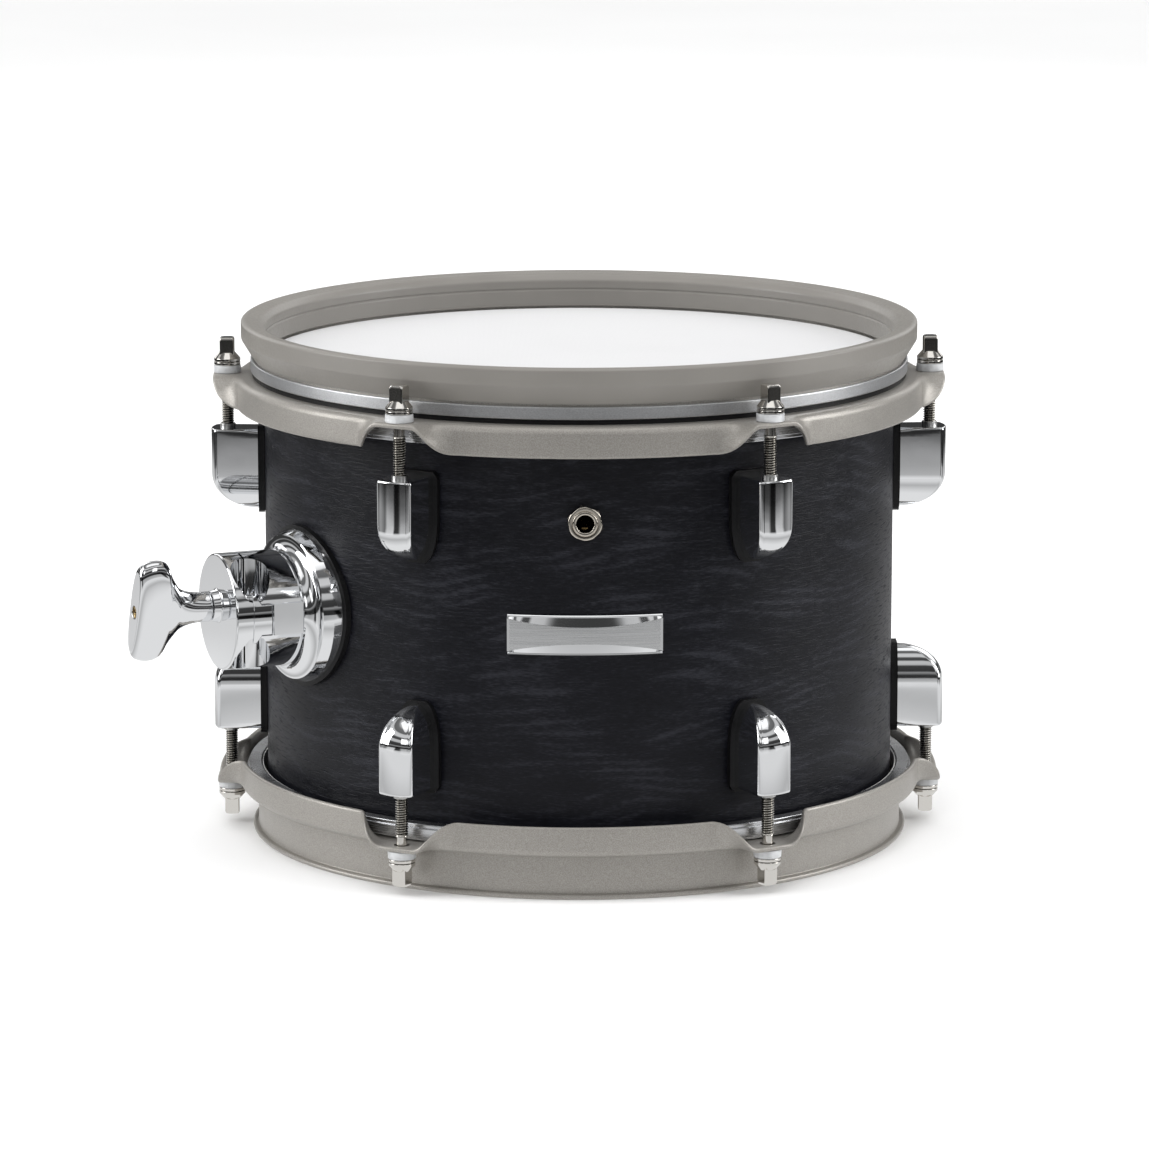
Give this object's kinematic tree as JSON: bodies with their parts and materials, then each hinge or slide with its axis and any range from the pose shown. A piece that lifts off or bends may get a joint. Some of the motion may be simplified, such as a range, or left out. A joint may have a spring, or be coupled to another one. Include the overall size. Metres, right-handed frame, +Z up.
{
  "type": "tom tom drum",
  "caption": "Round stained-oak tom drum with tensioned heads, pressed steel hoops, lugs and rods, a rubber-covered rim, a side arm clamp and a jack socket.",
  "frame": {"origin": "centre of the batter head's playing face, on the drum's axis", "axes": "+Z up along the drum's axis, out of the batter head; -Y is the front, with the badge and the jack socket; +X is to the right seen from the front"},
  "size_m": [0.3268, 0.2772, 0.2085],
  "materials": {
    "stained_oak": "open-pored oak, black-blue stain under satin lacquer",
    "hoop_paint": "fine sparkle powder coat, satin",
    "rim_rubber": "smooth satin moulding",
    "black_rubber": "matt",
    "lead_sheath": "satin sheath",
    "chrome": "polished plating",
    "aluminium": "bright rolled",
    "mesh_cloth": "tight white woven mesh",
    "film": "coated polyester film",
    "zinc_steel": "zinc-plated, satin",
    "brass": "bright",
    "foam": "open-cell foam",
    "black_plastic": "moulded, satin"
  },
  "bodies": {
    "drum": {"shell": "stained_oak", "batter_head": "mesh_cloth", "batter_flesh_hoop": "aluminium", "resonant_head": "film", "resonant_flesh_hoop": "aluminium", "jack_socket": "black_plastic", "jack_nut": "chrome", "badge": "chrome", "clamp_gasket": "black_rubber", "clamp_base": "chrome", "clamp_backing_plate": "zinc_steel", "sensor_bridge": "aluminium", "head_sensor_pad": "foam", "head_sensor_disc": "brass", "sensor_foam": "foam", "rim_sensor_pad": "foam", "rim_sensor_disc": "brass", "sensor_lead": "lead_sheath", "batter_lug_front_right": "chrome", "batter_lug_gasket_front_right": "black_rubber", "batter_lug_right": "chrome", "batter_lug_gasket_right": "black_rubber", "batter_lug_rear_right": "chrome", "batter_lug_gasket_rear_right": "black_rubber", "batter_lug_rear_left": "chrome", "batter_lug_gasket_rear_left": "black_rubber", "batter_lug_left": "chrome", "batter_lug_gasket_left": "black_rubber", "batter_lug_front_left": "chrome", "batter_lug_gasket_front_left": "black_rubber", "resonant_lug_front_right": "chrome", "resonant_lug_gasket_front_right": "black_rubber", "resonant_lug_right": "chrome", "resonant_lug_gasket_right": "black_rubber", "resonant_lug_rear_right": "chrome", "resonant_lug_gasket_rear_right": "black_rubber", "resonant_lug_rear_left": "chrome", "resonant_lug_gasket_rear_left": "black_rubber", "resonant_lug_left": "chrome", "resonant_lug_gasket_left": "black_rubber", "resonant_lug_front_left": "chrome", "resonant_lug_gasket_front_left": "black_rubber"},
    "batter_hoop": {"batter_hoop": "hoop_paint", "rim_cover": "rim_rubber"},
    "resonant_hoop": {"resonant_hoop": "hoop_paint"},
    "clamp_jaw": {"clamp_jaw": "chrome"},
    "wing_bolt": {"wing_bolt": "chrome"},
    "batter_rod_front_right": {"batter_rod_front_right": "chrome"},
    "batter_rod_right": {"batter_rod_right": "chrome"},
    "batter_rod_rear_right": {"batter_rod_rear_right": "chrome"},
    "batter_rod_rear_left": {"batter_rod_rear_left": "chrome"},
    "batter_rod_left": {"batter_rod_left": "chrome"},
    "batter_rod_front_left": {"batter_rod_front_left": "chrome"},
    "resonant_rod_front_right": {"resonant_rod_front_right": "chrome"},
    "resonant_rod_right": {"resonant_rod_right": "chrome"},
    "resonant_rod_rear_right": {"resonant_rod_rear_right": "chrome"},
    "resonant_rod_rear_left": {"resonant_rod_rear_left": "chrome"},
    "resonant_rod_left": {"resonant_rod_left": "chrome"},
    "resonant_rod_front_left": {"resonant_rod_front_left": "chrome"}
  },
  "joints": [
    {"name": "batter_hoop_travel", "type": "slide", "parent": "drum", "child": "batter_hoop", "axis": [0, 0, 1], "range_m": [0, 0.0032]},
    {"name": "batter_rod_front_right_turn", "type": "hinge", "parent": "batter_hoop", "child": "batter_rod_front_right", "pos_m": [0.0709, -0.1228, -0.0073], "axis": [0, 0, 1], "range_deg": [0, 1440]},
    {"name": "batter_rod_right_turn", "type": "hinge", "parent": "batter_hoop", "child": "batter_rod_right", "pos_m": [0.1418, 0, -0.0073], "axis": [0, 0, 1], "range_deg": [0, 1440]},
    {"name": "batter_rod_rear_right_turn", "type": "hinge", "parent": "batter_hoop", "child": "batter_rod_rear_right", "pos_m": [0.0709, 0.1228, -0.0073], "axis": [0, 0, 1], "range_deg": [0, 1440]},
    {"name": "batter_rod_rear_left_turn", "type": "hinge", "parent": "batter_hoop", "child": "batter_rod_rear_left", "pos_m": [-0.0709, 0.1228, -0.0073], "axis": [0, 0, 1], "range_deg": [0, 1440]},
    {"name": "batter_rod_left_turn", "type": "hinge", "parent": "batter_hoop", "child": "batter_rod_left", "pos_m": [-0.1418, 0, -0.0073], "axis": [0, 0, 1], "range_deg": [0, 1440]},
    {"name": "batter_rod_front_left_turn", "type": "hinge", "parent": "batter_hoop", "child": "batter_rod_front_left", "pos_m": [-0.0709, -0.1228, -0.0073], "axis": [0, 0, 1], "range_deg": [0, 1440]},
    {"name": "resonant_hoop_travel", "type": "slide", "parent": "drum", "child": "resonant_hoop", "axis": [0, 0, -1], "range_m": [0, 0.0032]},
    {"name": "resonant_rod_front_right_turn", "type": "hinge", "parent": "resonant_hoop", "child": "resonant_rod_front_right", "pos_m": [0.0709, -0.1228, -0.1755], "axis": [0, 0, -1], "range_deg": [0, 1440]},
    {"name": "resonant_rod_right_turn", "type": "hinge", "parent": "resonant_hoop", "child": "resonant_rod_right", "pos_m": [0.1418, 0, -0.1755], "axis": [0, 0, -1], "range_deg": [0, 1440]},
    {"name": "resonant_rod_rear_right_turn", "type": "hinge", "parent": "resonant_hoop", "child": "resonant_rod_rear_right", "pos_m": [0.0709, 0.1228, -0.1755], "axis": [0, 0, -1], "range_deg": [0, 1440]},
    {"name": "resonant_rod_rear_left_turn", "type": "hinge", "parent": "resonant_hoop", "child": "resonant_rod_rear_left", "pos_m": [-0.0709, 0.1228, -0.1755], "axis": [0, 0, -1], "range_deg": [0, 1440]},
    {"name": "resonant_rod_left_turn", "type": "hinge", "parent": "resonant_hoop", "child": "resonant_rod_left", "pos_m": [-0.1418, 0, -0.1755], "axis": [0, 0, -1], "range_deg": [0, 1440]},
    {"name": "resonant_rod_front_left_turn", "type": "hinge", "parent": "resonant_hoop", "child": "resonant_rod_front_left", "pos_m": [-0.0709, -0.1228, -0.1755], "axis": [0, 0, -1], "range_deg": [0, 1440]},
    {"name": "clamp_jaw_travel", "type": "slide", "parent": "drum", "child": "clamp_jaw", "axis": [-0.9272, -0.3746, 0], "range_m": [0, 0.0025]},
    {"name": "wing_bolt_turn", "type": "hinge", "parent": "clamp_jaw", "child": "wing_bolt", "pos_m": [-0.10998, -0.0635, -0.0879], "axis": [-0.9272, -0.3746, 0], "range_deg": [0, 720]}
  ],
  "couplings": [
    {"joint": "batter_rod_front_right_turn", "follows": "batter_hoop_travel", "rad_per_m": 7854},
    {"joint": "batter_rod_right_turn", "follows": "batter_hoop_travel", "rad_per_m": 7854},
    {"joint": "batter_rod_rear_right_turn", "follows": "batter_hoop_travel", "rad_per_m": 7854},
    {"joint": "batter_rod_rear_left_turn", "follows": "batter_hoop_travel", "rad_per_m": 7854},
    {"joint": "batter_rod_left_turn", "follows": "batter_hoop_travel", "rad_per_m": 7854},
    {"joint": "batter_rod_front_left_turn", "follows": "batter_hoop_travel", "rad_per_m": 7854},
    {"joint": "resonant_rod_front_right_turn", "follows": "resonant_hoop_travel", "rad_per_m": 7854},
    {"joint": "resonant_rod_right_turn", "follows": "resonant_hoop_travel", "rad_per_m": 7854},
    {"joint": "resonant_rod_rear_right_turn", "follows": "resonant_hoop_travel", "rad_per_m": 7854},
    {"joint": "resonant_rod_rear_left_turn", "follows": "resonant_hoop_travel", "rad_per_m": 7854},
    {"joint": "resonant_rod_left_turn", "follows": "resonant_hoop_travel", "rad_per_m": 7854},
    {"joint": "resonant_rod_front_left_turn", "follows": "resonant_hoop_travel", "rad_per_m": 7854},
    {"joint": "wing_bolt_turn", "follows": "clamp_jaw_travel", "rad_per_m": 5026.5}
  ]
}
